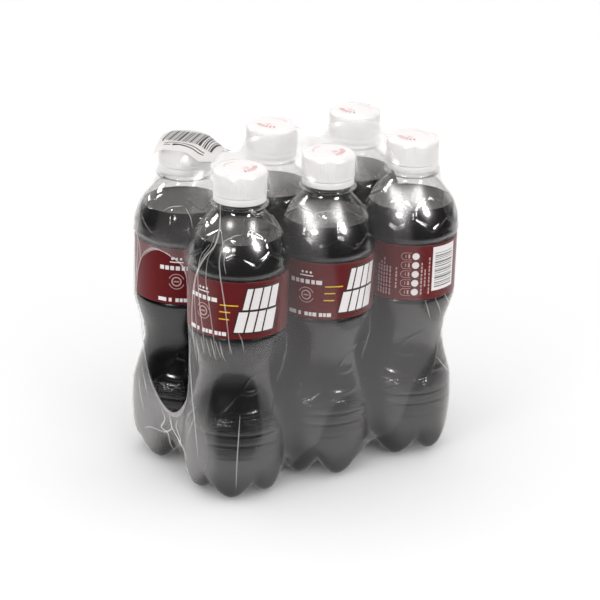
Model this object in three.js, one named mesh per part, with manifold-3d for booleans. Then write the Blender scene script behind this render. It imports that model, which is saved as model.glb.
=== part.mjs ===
// Six small soft-drink bottles, two rows of three, held together by a shrink-wrapped clear film.
// Millimetres, +Z up. X runs along the rows of three, Y across the two rows. The origin is on the floor,
// under the middle of the pack. The front row stands at -Y, and the film is open at both X ends.
import * as THREE from "three";
import { mergeVertices } from "three/addons/utils/BufferGeometryUtils.js";
import Module from "manifold-3d";

const wasm = await Module();
wasm.setup();

// Driving dimensions
const PITCH = 59.4; // between the axes of neighbouring bottles
const COLUMNS = 3;
const ROWS = 2;
const FILM_THICKNESS = 0.6;
const FILM_CLEARANCE = 0.6; // between the film's inner face and what it wraps
const GAP = 0.3; // kept between other pieces that touch
const FOOT_Z = FILM_THICKNESS + FILM_CLEARANCE; // the feet stand on the film
const FEET = 5;
const FOOT_RING = 19.5; // radius of the circle that the feet touch
const BODY_RADIUS = 29.4; // widest, at the heel
const WAIST_RADIUS = 22.7;
const WAIST_Z = 73;
const PANEL_RADIUS = 27.9; // recess that carries the label
const LABEL_Z = [103.4, 137.2];
const LABEL_THICKNESS = 0.5;
const LABEL_RADIUS = PANEL_RADIUS + GAP + LABEL_THICKNESS;
const SHOULDER_Z = 140.6;
const FILL_Z = 157.5;
const NECK_RADIUS = 13.2;
const FLANGE_RADIUS = 16.5;
const FLANGE_Z = 173.9;
const FLANGE_HEIGHT = 1.6;
const MOUTH_Z = 192.6;
const CAP_RADIUS = 15.25;
const CAP_Z = [176.5, 195.2];
const CAP_WALL = 1.3;
const BAND_HEIGHT = 3.6; // tamper band under the cap's skirt
const WALL = 1.4; // bottle wall
const BODY_SIDES = 20;
const HOLLOW_SIDES = 10;
const CAP_SIDES = 16;

// Film
// Reach of the opening at each end from its centre, and how square each corner is: 2 gives an ellipse.
const WINDOW = { centreZ: 86, back: 36, front: 23, up: 53, down: 47 };
const WINDOW_CORNERS = { backUp: 2, backDown: 1.7, frontDown: 2.5, frontUp: 6 };
const FACE_STEPS = 4; // cells of the film's grid from an opening's rim to the edge of that end
const SIDE_LINES = { count: 12, high: 182, low: 8 };
const BOTTOM_LINES = { count: 6, halfY: 46 };
const TENSION_RATIO = 2.2; // pull round the pack over pull along it
const TIGHTEN_STEPS = 140;
const CLEARING_STEPS = 60;
const PACK_TOP = CAP_Z[1];

// Sticker on the film over the back left cap, turned as it happens to lie
const STICKER = { x: -58, y: 26, length: 39, width: 32, turn: -51, thickness: 0.35, columns: 6, rows: 5 };

const turnedUp = new THREE.Matrix4().makeRotationX(Math.PI / 2);

// A profile of [radius, height] pairs turned round the Z axis.
function turned(profile, sides) {
  const points = profile.map(([r, z]) => new THREE.Vector2(r, z));
  return new THREE.LatheGeometry(points, sides).applyMatrix4(turnedUp);
}

function solid(geometry) {
  const bare = geometry.clone();
  bare.deleteAttribute("normal");
  bare.deleteAttribute("uv");
  const merged = mergeVertices(bare, 1e-4);
  return new wasm.Manifold(
    new wasm.Mesh({
      numProp: 3,
      vertProperties: merged.attributes.position.array,
      triVerts: new Uint32Array(merged.index.array),
    }),
  );
}

function geometryOf(manifold) {
  const mesh = manifold.getMesh();
  return new THREE.BufferGeometry()
    .setAttribute("position", new THREE.BufferAttribute(mesh.vertProperties, 3))
    .setIndex(new THREE.BufferAttribute(mesh.triVerts, 1));
}

// Bottle

// Height of the round underside that shows in the valleys between the feet.
function valleyHeight(radius) {
  const share = Math.min(radius / (BODY_RADIUS + 0.4), 1);
  return FOOT_Z + 6.5 + 17 * (1 - Math.sqrt(1 - share * share));
}

// 1 in the middle of a foot and 0 in the middle of a valley.
function footness(angle) {
  const wave = 0.5 - 0.5 * Math.cos(FEET * angle);
  return Math.pow(wave, 0.45);
}

const baseProfile = [
  [0, FOOT_Z + 6.5],
  [14.5, FOOT_Z + 1.2],
  [FOOT_RING, FOOT_Z],
  [24.8, FOOT_Z + 3.2],
  [27.8, FOOT_Z + 10],
  [29.1, FOOT_Z + 20],
];

const bodyProfile = [
  [BODY_RADIUS, 33],
  [28.3, 47],
  [25, 60],
  [WAIST_RADIUS, WAIST_Z],
  [24.3, 85],
  [28.4, 99.5],
  [PANEL_RADIUS, LABEL_Z[0] - 0.6],
  [PANEL_RADIUS, LABEL_Z[1] + 0.6],
  [29.2, SHOULDER_Z],
  [28.4, 146],
  [25.9, 154],
  [21.6, 161.5],
  [14.4, 169.8],
];

const neckProfile = [
  [NECK_RADIUS, FLANGE_Z],
  [FLANGE_RADIUS, FLANGE_Z + 0.2],
  [FLANGE_RADIUS, FLANGE_Z + FLANGE_HEIGHT - 0.2],
  [NECK_RADIUS, FLANGE_Z + FLANGE_HEIGHT],
  [NECK_RADIUS, MOUTH_Z],
];

const HOLLOW_Z = 13;
const hollowProfile = [
  [0, HOLLOW_Z],
  [23.5, 21],
  [BODY_RADIUS - WALL, 33],
  [28.3 - WALL, 47],
  [WAIST_RADIUS - WALL, WAIST_Z],
  [PANEL_RADIUS - WALL, 98],
  [PANEL_RADIUS - WALL, 143],
  [25.9 - WALL, 152.5],
  [21.6 - WALL, 160.5],
  [NECK_RADIUS - WALL - 0.6, 168.5],
];

// Lifts the underside between the feet, which the turned profile has all round.
function pressValleys(geometry) {
  const position = geometry.getAttribute("position");
  for (let i = 0; i < position.count; i++) {
    const [x, y, z] = [position.getX(i), position.getY(i), position.getZ(i)];
    const valley = valleyHeight(Math.hypot(x, y));
    if (z < valley) position.setZ(i, THREE.MathUtils.lerp(valley, z, footness(Math.atan2(y, x))));
  }
  return geometry;
}

function makeBottle() {
  const outside = [...baseProfile, ...bodyProfile, ...neckProfile, [0, MOUTH_Z]];
  const hollow = [...hollowProfile, [NECK_RADIUS - WALL - 0.6, MOUTH_Z + 1], [0, MOUTH_Z + 1]];
  const body = solid(pressValleys(turned(outside, BODY_SIDES)));
  return geometryOf(body.subtract(solid(turned(hollow, HOLLOW_SIDES))));
}

// The radius of the bottle's hollow at a height.
function hollowRadius(z) {
  const above = hollowProfile.findIndex(([, height]) => height >= z);
  const [r0, z0] = hollowProfile[above - 1];
  const [r1, z1] = hollowProfile[above];
  return THREE.MathUtils.mapLinear(z, z0, z1, r0, r1);
}

function makeDrink() {
  const inset = 1.5 * GAP;
  const profile = [
    [0, HOLLOW_Z + inset],
    ...hollowProfile.filter(([r, z]) => r > 0 && z < FILL_Z).map(([r, z]) => [r - inset, z]),
    [hollowRadius(FILL_Z) - inset, FILL_Z],
    [0, FILL_Z],
  ];
  return turned(profile, HOLLOW_SIDES);
}

function makeLabel() {
  const inside = LABEL_RADIUS - LABEL_THICKNESS;
  const [low, high] = LABEL_Z;
  return turned(
    [
      [inside, low],
      [LABEL_RADIUS, low],
      [LABEL_RADIUS, high],
      [inside, high],
      [inside, low],
    ],
    BODY_SIDES,
  );
}

// The screw cap, with its tamper band under a groove.
function makeCap() {
  const [low, high] = CAP_Z;
  const inside = CAP_RADIUS - CAP_WALL;
  const groove = low + BAND_HEIGHT;
  return turned(
    [
      [0, high - 1.7],
      [inside, high - 1.7],
      [inside, low],
      [CAP_RADIUS - 0.3, low],
      [CAP_RADIUS - 0.3, groove],
      [CAP_RADIUS, groove + 0.4],
      [CAP_RADIUS, high - 2.2],
      [CAP_RADIUS - 2.2, high],
      [0, high],
    ],
    CAP_SIDES,
  );
}

// Film

// The outline that the film lies on, from the middle of the base round to the middle of the cap's top.
const outline = [
  [0, FOOT_Z],
  ...baseProfile.filter(([r]) => r >= FOOT_RING),
  ...bodyProfile.filter(([, z]) => z < LABEL_Z[0] - 1),
  ...LABEL_Z.map((z) => [LABEL_RADIUS, z]),
  ...bodyProfile.filter(([, z]) => z >= SHOULDER_Z),
  [FLANGE_RADIUS, FLANGE_Z],
  [CAP_RADIUS + 0.2, CAP_Z[0]],
  [CAP_RADIUS + 0.2, CAP_Z[1] - 2.2],
  [CAP_RADIUS - 2.2, CAP_Z[1]],
  [0, CAP_Z[1]],
];

// Signed distance and outward direction from the bottle's outline, in the plane of radius and height.
function fromOutline(radius, z) {
  let best = Infinity;
  let away = [1, 0];
  for (let i = 1; i < outline.length; i++) {
    const [r0, z0] = outline[i - 1];
    const [r1, z1] = outline[i];
    const [dr, dz] = [r1 - r0, z1 - z0];
    const along = THREE.MathUtils.clamp(((radius - r0) * dr + (z - z0) * dz) / (dr * dr + dz * dz), 0, 1);
    const [er, ez] = [radius - r0 - along * dr, z - z0 - along * dz];
    const far = Math.hypot(er, ez);
    if (far < Math.abs(best) - 1e-9) {
      const length = Math.hypot(dr, dz);
      const outside = (er * dz - ez * dr) / length >= 0;
      best = outside ? far : -far;
      away = far > 1e-6 ? [er / best, ez / best] : [dz / length, -dr / length];
    }
  }
  return { distance: best, away };
}

const nearestColumn = (x) => THREE.MathUtils.clamp(Math.round(x / PITCH), -1, 1) * PITCH;
const nearestRow = (y) => (y < 0 ? -PITCH / 2 : PITCH / 2);

// How far a point has to move to stand clear of the nearest bottle, as a vector, or null.
function pushFromBottles(point, clearance) {
  const [dx, dy] = [point.x - nearestColumn(point.x), point.y - nearestRow(point.y)];
  const radius = Math.max(Math.hypot(dx, dy), 1e-6);
  if (radius > BODY_RADIUS + clearance) return null;
  const { distance, away } = fromOutline(radius, point.z);
  if (distance >= clearance) return null;
  const step = clearance - distance;
  return new THREE.Vector3((dx / radius) * away[0], (dy / radius) * away[0], away[1]).multiplyScalar(step);
}

// Where the film's grid lines cross the top of a row of caps: over each cap, and midway between caps.
function linesAcross(count) {
  const lines = [];
  for (let k = 0; k < count; k++) {
    const centre = (k - (count - 1) / 2) * PITCH;
    if (k > 0) lines.push(centre - PITCH / 2);
    for (const share of [-1, -1 / 3, 1 / 3, 1]) lines.push(centre + share * CAP_RADIUS);
  }
  return lines;
}

// [y, z] pairs round the pack, over the top first.
function sectionPoints() {
  const halfY = ((ROWS - 1) / 2) * PITCH + BODY_RADIUS + 2;
  const spread = (count, from, to) =>
    Array.from({ length: count }, (_, k) => THREE.MathUtils.lerp(from, to, k / (count - 1)));
  const down = spread(SIDE_LINES.count, SIDE_LINES.high, SIDE_LINES.low);
  return [
    ...linesAcross(ROWS).map((y) => [y, PACK_TOP + 2]),
    ...down.map((z) => [halfY, z]),
    ...spread(BOTTOM_LINES.count, BOTTOM_LINES.halfY, -BOTTOM_LINES.halfY).map((y) => [y, FILM_THICKNESS]),
    ...down.reverse().map((z) => [-halfY, z]),
  ];
}

// [y, z] on the rim of an opening, at an angle from its centre.
function windowRim(angle) {
  const [c, s] = [Math.cos(angle), Math.sin(angle)];
  const [side, end] = [c > 0 ? 'back' : 'front', s > 0 ? 'up' : 'down'];
  const squareness = WINDOW_CORNERS[side + (s > 0 ? 'Up' : 'Down')];
  const reach = (share) => Math.sign(share) * Math.abs(share) ** (2 / squareness);
  return [WINDOW[side] * reach(c), WINDOW.centreZ + WINDOW[end] * reach(s)];
}

// The film's inner face as a grid: around the pack, and along it from one opening to the other.
function startGrid() {
  const endX = ((COLUMNS - 1) / 2) * PITCH + BODY_RADIUS + 2 * FILM_CLEARANCE;
  return sectionPoints().map(([y, z]) => {
    const rim = new THREE.Vector3(endX, ...windowRim(Math.atan2(z - WINDOW.centreZ, y)));
    const edge = new THREE.Vector3(endX, y, z);
    const face = [];
    for (let k = 0; k <= FACE_STEPS; k++) face.push(rim.clone().lerp(edge, k / FACE_STEPS));
    const middle = linesAcross(COLUMNS).map((x) => new THREE.Vector3(x, y, z));
    const otherFace = face.map((p) => new THREE.Vector3(-p.x, p.y, p.z));
    return [...otherFace, ...middle, ...face.reverse()];
  });
}

// Points spread over a triangle, as weights of its three corners.
const SAMPLE_STEPS = 5;
const triangleSamples = [];
for (let a = 0; a <= SAMPLE_STEPS; a++)
  for (let b = 0; b <= SAMPLE_STEPS - a; b++)
    triangleSamples.push([a, b, SAMPLE_STEPS - a - b].map((share) => share / SAMPLE_STEPS));

function cellTriangles(grid, i, j) {
  const next = grid[(i + 1) % grid.length];
  return [
    [grid[i][j], grid[i][j + 1], next[j]],
    [grid[i][j + 1], next[j + 1], next[j]],
  ];
}

// Moves a triangle's corners until all of it stands clear of the bottles.
function clearTriangle(corners) {
  for (const weights of triangleSamples) {
    const sample = new THREE.Vector3();
    corners.forEach((corner, k) => sample.addScaledVector(corner, weights[k]));
    const push = pushFromBottles(sample, FILM_CLEARANCE);
    if (!push) continue;
    const share = weights.reduce((sum, w) => sum + w * w, 0);
    corners.forEach((corner, k) => corner.addScaledVector(push, weights[k] / share));
  }
}

// The neighbours of a grid point, with the weights that keep the grid's spacing.
function neighbours(grid, i, j) {
  const here = grid[i][j];
  const around = [grid[(i + grid.length - 1) % grid.length][j], grid[(i + 1) % grid.length][j]];
  const along = [grid[i][j - 1], grid[i][j + 1]].filter(Boolean);
  const meanLength = (points) => points.reduce((sum, p) => sum + p.distanceTo(here), 0) / points.length;
  const [acrossLength, alongLength] = [meanLength(around), meanLength(along)];
  const weighted = (points, width) => points.map((point) => ({ point, weight: width / point.distanceTo(here) }));
  const all = [...weighted(around, TENSION_RATIO * alongLength), ...weighted(along, acrossLength)];
  const total = all.reduce((sum, { weight }) => sum + weight, 0);
  return all.map(({ point, weight }) => ({ point, weight: weight / total }));
}

// Pulls the film tight over the bottles: each point moves to the middle of its neighbours, and is
// pushed back out where the film would pass through a bottle. The openings keep their outline.
function tighten(grid) {
  const rimYZ = grid.map((line) => [line[0].y, line[0].z]);
  const links = grid.map((line, i) => line.map((_, j) => neighbours(grid, i, j)));
  for (let step = 0; step < TIGHTEN_STEPS + CLEARING_STEPS; step++) {
    const pull = 0.7 * Math.max(1 - step / TIGHTEN_STEPS, 0) ** 0.5;
    const targets = links.map((line) =>
      line.map((all) => {
        const middle = new THREE.Vector3();
        for (const { point, weight } of all) middle.addScaledVector(point, weight);
        return middle;
      }),
    );
    grid.forEach((line, i) => line.forEach((point, j) => point.lerp(targets[i][j], pull)));
    grid.forEach((line, i) => {
      for (let j = 0; j + 1 < line.length; j++) cellTriangles(grid, i, j).forEach(clearTriangle);
    });
    grid.forEach((line, i) => {
      for (const point of [line[0], line[line.length - 1]]) [point.y, point.z] = rimYZ[i];
      for (const point of line) point.z = Math.max(point.z, FILM_THICKNESS);
    });
  }
  return grid;
}

// The grid's outward normals.
function gridNormals(grid) {
  const normals = new Map(grid.flat().map((point) => [point, new THREE.Vector3()]));
  const triangle = new THREE.Triangle();
  const normal = new THREE.Vector3();
  grid.forEach((line, i) => {
    for (let j = 0; j + 1 < line.length; j++)
      for (const corners of cellTriangles(grid, i, j)) {
        triangle.set(...corners).getNormal(normal);
        normal.multiplyScalar(triangle.getArea());
        for (const corner of corners) normals.get(corner).add(normal);
      }
  });
  return (point) => normals.get(point).clone().normalize();
}

// Closes the grid and a second face at the film's thickness outside it into one thin solid.
function makeFilm(grid) {
  const normalAt = gridNormals(grid);
  const columns = grid[0].length;
  const inner = grid.flat();
  const outer = inner.map((point) => {
    const moved = point.clone().addScaledVector(normalAt(point), FILM_THICKNESS);
    return moved.setZ(Math.max(moved.z, 0));
  });
  const index = [];
  for (let i = 0; i < grid.length; i++) {
    const [here, next] = [i * columns, ((i + 1) % grid.length) * columns];
    for (let j = 0; j + 1 < columns; j++) {
      const [a, b, c, d] = [here + j, here + j + 1, next + j + 1, next + j];
      const [A, B, C, D] = [a, b, c, d].map((k) => k + inner.length);
      index.push(A, B, D, B, C, D, a, d, b, b, d, c);
    }
    const [a, d, b, c] = [here, next, here + columns - 1, next + columns - 1];
    const [A, D, B, C] = [a, d, b, c].map((k) => k + inner.length);
    index.push(a, A, d, A, D, d, b, c, B, B, c, C);
  }
  return new THREE.BufferGeometry().setFromPoints([...inner, ...outer]).setIndex(index);
}

// Sticker

// A thin sheet that lies on the film: each of its points clears the highest film near it.
function makeSticker(film) {
  const caster = new THREE.Raycaster();
  const down = new THREE.Vector3(0, 0, -1);
  const heightAt = (x, y) => {
    caster.set(new THREE.Vector3(x, y, PACK_TOP + 50), down);
    return caster.intersectObject(film)[0].point.z;
  };
  const { length, width, thickness, columns, rows } = STICKER;
  const turn = THREE.MathUtils.degToRad(STICKER.turn);
  const reach = [-5, -2.5, 0, 2.5, 5];
  const lower = [];
  for (let j = 0; j <= rows; j++)
    for (let i = 0; i <= columns; i++) {
      const place = new THREE.Vector2((i / columns - 0.5) * length, (j / rows - 0.5) * width);
      place.rotateAround(new THREE.Vector2(), turn).add(new THREE.Vector2(STICKER.x, STICKER.y));
      const near = reach.flatMap((dx) => reach.map((dy) => heightAt(place.x + dx, place.y + dy)));
      lower.push(new THREE.Vector3(place.x, place.y, Math.max(...near) + 2 * GAP));
    }
  const upper = lower.map((point) => point.clone().setZ(point.z + thickness));
  const top = (columns + 1) * (rows + 1);
  const at = (i, j) => j * (columns + 1) + i;
  const index = [];
  const wall = (a, b) => index.push(a, b, top + b, a, top + b, top + a);
  for (let j = 0; j < rows; j++)
    for (let i = 0; i < columns; i++) {
      const [a, b, c, d] = [at(i, j), at(i + 1, j), at(i + 1, j + 1), at(i, j + 1)];
      index.push(top + a, top + b, top + c, top + a, top + c, top + d);
      index.push(a, c, b, a, d, c);
    }
  for (let i = 0; i < columns; i++) {
    wall(at(i, 0), at(i + 1, 0));
    wall(at(i + 1, rows), at(i, rows));
  }
  for (let j = 0; j < rows; j++) {
    wall(at(0, j + 1), at(0, j));
    wall(at(columns, j), at(columns, j + 1));
  }
  return new THREE.BufferGeometry().setFromPoints([...lower, ...upper]).setIndex(index);
}

// The whole pack

const finish = (color, roughness, options = {}) =>
  new THREE.MeshStandardMaterial({ color, roughness, metalness: 0, ...options });

const materials = {
  bottle: finish(0xdfe3e6, 0.08, { transparent: true, opacity: 0.25 }),
  drink: finish(0x120a0a, 0.05),
  label: finish(0x6b1f26, 0.35),
  cap: finish(0xf2f1f0, 0.4),
  film: finish(0xe6e6e8, 0.1, { transparent: true, opacity: 0.2 }),
  sticker: finish(0xf4f2f0, 0.5),
};

// The direction of a valley between two feet of each bottle, in degrees, as the bottles happen to stand.
const bottlePlaces = [
  { name: "front_left", column: 0, row: 0, turn: 125 },
  { name: "front_middle", column: 1, row: 0, turn: 162 },
  { name: "front_right", column: 2, row: 0, turn: 190 },
  { name: "back_left", column: 0, row: 1, turn: 165 },
  { name: "back_middle", column: 1, row: 1, turn: 140 },
  { name: "back_right", column: 2, row: 1, turn: 176 },
];

function makePack() {
  const pack = new THREE.Group();
  const shapes = { bottle: makeBottle(), drink: makeDrink(), label: makeLabel(), cap: makeCap() };
  for (const { name, column, row, turn } of bottlePlaces) {
    const place = new THREE.Group();
    place.position.set((column - (COLUMNS - 1) / 2) * PITCH, (row - (ROWS - 1) / 2) * PITCH, 0);
    place.rotation.z = THREE.MathUtils.degToRad(turn);
    for (const [kind, geometry] of Object.entries(shapes)) {
      const mesh = new THREE.Mesh(geometry, materials[kind]);
      mesh.name = `${kind}_${name}`;
      place.add(mesh);
    }
    pack.add(place);
  }
  const film = new THREE.Mesh(makeFilm(tighten(startGrid())), materials.film);
  film.name = "film";
  const sticker = new THREE.Mesh(makeSticker(film), materials.sticker);
  sticker.name = "sticker";
  pack.add(film, sticker);
  return pack;
}

export default makePack();
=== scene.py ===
import math

import bpy
import numpy as np
from mathutils import Matrix, Vector
from mathutils.bvhtree import BVHTree


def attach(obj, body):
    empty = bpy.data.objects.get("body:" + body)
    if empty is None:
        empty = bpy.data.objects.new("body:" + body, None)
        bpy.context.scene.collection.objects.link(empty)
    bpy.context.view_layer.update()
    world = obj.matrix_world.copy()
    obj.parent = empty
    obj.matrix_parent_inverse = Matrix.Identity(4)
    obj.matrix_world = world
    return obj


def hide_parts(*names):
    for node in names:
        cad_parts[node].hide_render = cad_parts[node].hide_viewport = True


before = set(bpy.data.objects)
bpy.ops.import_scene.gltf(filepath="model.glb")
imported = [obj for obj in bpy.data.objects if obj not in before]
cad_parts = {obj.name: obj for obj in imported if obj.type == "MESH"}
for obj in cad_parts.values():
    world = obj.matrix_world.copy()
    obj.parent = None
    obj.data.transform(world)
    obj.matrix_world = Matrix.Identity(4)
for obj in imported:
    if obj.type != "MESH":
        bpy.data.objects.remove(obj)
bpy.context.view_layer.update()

# Sizes in millimetres, turned into metres where a mesh is made.
MM = 0.001
PITCH = 59.4
FOOT_Z = 1.2
FEET = 5
LABEL_LOW = 103.4
LABEL_HIGH = 137.2
LABEL_OUTSIDE = 28.5
FILL_Z = 157.5
CAP_RADIUS = 15.25
CAP_TOP = 195.2
CELLS = 8

# Each bottle: its place, the way its feet, shoulder cells, lower ridges and label are turned, in degrees.
CAMERA_SIDE = -124.25
BOTTLES = {
    "front_left": {"column": -1, "row": -1, "feet": 125, "cells": 20.5, "ridges": 0, "label": -40.5},
    "front_middle": {"column": 0, "row": -1, "feet": 162, "cells": -9, "ridges": 14, "label": -21.5},
    "front_right": {"column": 1, "row": -1, "feet": 190, "cells": -18.3, "ridges": 160, "label": 161},
    "back_left": {"column": -1, "row": 1, "feet": 165, "cells": 8, "ridges": -14, "label": -5},
    "back_middle": {"column": 0, "row": 1, "feet": 140, "cells": 31, "ridges": 75, "label": 68},
    "back_right": {"column": 1, "row": 1, "feet": 176, "cells": 15, "ridges": 220, "label": 205},
}


# The photograph's viewpoint, in metres, and its focal length in pixels of a frame 600 wide.
CAMERA_PLACE = Vector((-0.73566, -1.08577, 0.61767))
CAMERA_RIGHT = Vector((0.83273, -0.55293, 0.02907))
CAMERA_UP = Vector((0.18284, 0.32415, 0.92818))
CAMERA_FORWARD = Vector((0.52264, 0.76760, -0.37102))
CAMERA_LENS = 142.93
SENSOR = 36
FRAME = 600


def centre(bottle):
    return bottle["column"] * PITCH, bottle["row"] * PITCH / 2


def round_axis(bottle, radius, angle, z):
    """Points at a radius and angle from a bottle's axis."""
    cx, cy = centre(bottle)
    return np.stack([cx + radius * np.cos(angle), cy + radius * np.sin(angle), z + 0.0 * angle], -1)


# Meshes

def grid_faces(rows, columns, wrap_rows=False, wrap_columns=False):
    """Quads of a grid of points numbered row by row."""
    last_row = rows if wrap_rows else rows - 1
    last_column = columns if wrap_columns else columns - 1
    i, j = np.meshgrid(np.arange(last_row), np.arange(last_column), indexing="ij")
    i, j = i.ravel(), j.ravel()
    i_next = (i + 1) % rows
    j_next = (j + 1) % columns
    here, below = i * columns, i_next * columns
    return np.stack([here + j, here + j_next, below + j_next, below + j], 1)


def make_piece(name, points, faces, materials, face_materials=None, replaces=()):
    """A mesh piece from points in millimetres that rides on the pack."""
    mesh = bpy.data.meshes.new(name)
    faces = np.asarray(faces, np.int32)
    corners = faces.shape[1]
    mesh.vertices.add(len(points))
    mesh.vertices.foreach_set("co", (np.asarray(points, float) * MM).astype(np.float32).ravel())
    mesh.loops.add(faces.size)
    mesh.loops.foreach_set("vertex_index", faces.ravel())
    mesh.polygons.add(len(faces))
    mesh.polygons.foreach_set("loop_start", np.arange(len(faces), dtype=np.int32) * corners)
    for material in materials:
        mesh.materials.append(material)
    if face_materials is not None:
        mesh.polygons.foreach_set("material_index", np.asarray(face_materials, np.int32))
    mesh.update(calc_edges=True)
    mesh.validate()
    mesh.polygons.foreach_set("use_smooth", np.ones(len(mesh.polygons), bool))
    piece = bpy.data.objects.new(name, mesh)
    bpy.context.scene.collection.objects.link(piece)
    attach(piece, "root")
    if replaces:
        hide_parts(*replaces)
    return piece


class Shapes:
    """Collects small grids of points into one mesh, each with its material's number."""

    def __init__(self):
        self.points, self.faces, self.inks = [], [], []

    def add(self, points, faces, ink=0):
        self.faces.append(faces + sum(len(p) for p in self.points))
        self.points.append(points)
        self.inks += [ink] * len(faces)

    def finish(self, name, materials, slot):
        return make_piece(name, np.vstack(self.points), np.vstack(self.faces), materials, self.inks)


def curve_through(points, spacing):
    """Points at about a spacing along a smooth curve through the given ones."""
    points = np.asarray(points, float)
    padded = np.vstack([2 * points[0] - points[1], points, 2 * points[-1] - points[-2]])
    out = []
    for k in range(1, len(padded) - 2):
        p0, p1, p2, p3 = padded[k - 1:k + 3]
        count = max(int(np.ceil(np.linalg.norm(p2 - p1) / spacing)), 1)
        t = np.arange(count)[:, None] / count
        m1 = (p2 - p0) / 2
        m2 = (p3 - p1) / 2
        limit = np.linalg.norm(p2 - p1)
        m1 = m1 * min(1, limit / max(np.linalg.norm(m1), 1e-9))
        m2 = m2 * min(1, limit / max(np.linalg.norm(m2), 1e-9))
        h1 = 2 * t ** 3 - 3 * t ** 2 + 1
        h2 = t ** 3 - 2 * t ** 2 + t
        h3 = -2 * t ** 3 + 3 * t ** 2
        h4 = t ** 3 - t ** 2
        out.append(h1 * p1 + h2 * m1 + h3 * p2 + h4 * m2)
    out.append(points[-1:])
    return np.vstack(out)


# Bottle profile as radius and height, from the middle of the underside up to the mouth

UNDERSIDE = [[0, 7.7], [5, 7.1], [10, 5.0], [14.5, 2.7], [17, 1.7], [19.5, 1.2]]
HEEL = [[19.5, 1.2], [22.2, 2.0], [24.8, 4.4], [26.6, 7.8], [27.8, 12], [28.7, 17.5], [29.2, 24], [29.45, 30]]
LOWER_BODY = [[29.45, 30], [29.45, 35], [29.2, 41], [28.6, 48], [26, 57.5], [23.4, 67.5], [22.6, 74],
              [23.4, 82], [26, 91], [28, 98], [28.6, 101], [28.5, 102]]
LABEL_RECESS = [[28.5, 102], [28.1, 102.7], [28.0, 103.2], [28.0, 121], [28.0, 137.6], [28.1, 138.2]]
SHOULDER = [[28.1, 138.2], [28.5, 139.2], [29.1, 140.4], [29.2, 141.6], [28.9, 143], [28.4, 146],
            [27.4, 150], [25.9, 154.5], [24.2, 157.8], [21.8, 161.3], [18.8, 165.5], [15.6, 169],
            [13.9, 171.2], [13.2, 173.2]]
NECK = [[13.2, 173.2], [13.3, 173.8], [16.2, 174.0], [16.5, 174.4], [16.5, 175.1], [16.2, 175.5],
        [13.3, 175.7], [13.2, 176.4], [13.2, 192.4]]


def joined(*parts):
    lines = []
    for points, spacing in parts:
        line = curve_through(points, spacing)
        lines.append(line if not lines else line[1:])
    return np.vstack(lines)


# Each stretch with how far apart its points are
OUTER_PROFILE = joined((UNDERSIDE, 1.6), (HEEL, 1.1), (LOWER_BODY, 0.8), (LABEL_RECESS, 4.5),
                       (SHOULDER, 0.55), (NECK, 3.0))


def valley_height(radius):
    share = np.minimum(radius / 29.8, 1)
    return FOOT_Z + 6.5 + 17 * (1 - np.sqrt(1 - share ** 2))


def footness(angle):
    wave = 0.5 - 0.5 * np.cos(FEET * angle)
    return wave ** 0.45


def bump(distance, half_width):
    """1 on a line and 0 from its half width on, with round shoulders."""
    share = np.clip(np.abs(distance) / half_width, 0, 1)
    return (1 - share ** 2) ** 2


def to_segment(s, z, start, end):
    ds, dz = end[0] - start[0], end[1] - start[1]
    along = np.clip(((s - start[0]) * ds + (z - start[1]) * dz) / (ds * ds + dz * dz), 0, 1)
    return np.hypot(s - start[0] - along * ds, z - start[1] - along * dz)


def shoulder_ridges(angle, z):
    """Height of the raised edges of the cells in the shoulder. Angle 0 is a low corner of a cell."""
    half = math.pi / CELLS
    folded = np.abs((angle + half) % (2 * half) - half)
    mean_radius = 26.5
    s = folded * mean_radius
    corner = half * mean_radius
    low = to_segment(s, z, (0, 145.8), (corner, 152.2))
    side = to_segment(s, z, (corner, 152.2), (corner, 159.4))
    high = to_segment(s, z, (corner, 159.4), (0, 165.0))
    return 0.72 * bump(np.minimum(np.minimum(low, side), high), 1.1)


RING_HEIGHTS = [43.4, 37.2, 29.9]
# Each swoosh: angle and height where it starts, passes and ends.
SWOOSHES = [
    [(-52, 41), (-5, 60), (22, 76), (48, 81)],
    [(128, 41), (175, 60), (202, 76), (228, 81)],
    [(118, 81), (92, 76), (65, 60), (40, 44)],
    [(298, 81), (272, 76), (245, 60), (220, 44)],
]
# Each rib: middle angle, height, half length as an angle. The far side of the bottle has the same.
RIBS = [(22, 69, 15), (14, 57, 24), (98, 69, 15), (84, 57, 26)]
RIBS += [(middle + 180, level, reach) for middle, level, reach in RIBS]
# Radius at which lengths round the lower body are measured
WAIST = 26


def body_relief(angle, z):
    """Height of the rings, swooshes and ribs in the lower body."""
    height = np.zeros(np.broadcast(angle, z).shape)
    for ring in RING_HEIGHTS:
        height = height - 0.5 * bump(z - ring, 1.0)
    for path in SWOOSHES:
        line = curve_through([(math.radians(a) * WAIST, h) for a, h in path], 3.0)
        s = (angle % (2 * math.pi)) * WAIST
        turn = 2 * math.pi * WAIST
        best = np.full(height.shape, 99.0)
        for start, end in zip(line[:-1], line[1:]):
            for shift in (-turn, 0, turn):
                best = np.minimum(best, to_segment(s + shift, z, start, end))
        height = height + 0.4 * bump(best, 0.95)
    for middle, level, reach in RIBS:
        offset = (angle - math.radians(middle) + math.pi) % (2 * math.pi) - math.pi
        share = np.clip(1 - (offset / math.radians(reach)) ** 2, 0, 1)
        height = height + 0.45 * np.sqrt(share) * bump(z - level + 1.6 * share, 2.0)
    return height


# Heights between which the shoulder's cells and the lower relief are
SHOULDER_FROM = 141
RELIEF_FROM, RELIEF_TO = 27, 86


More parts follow.
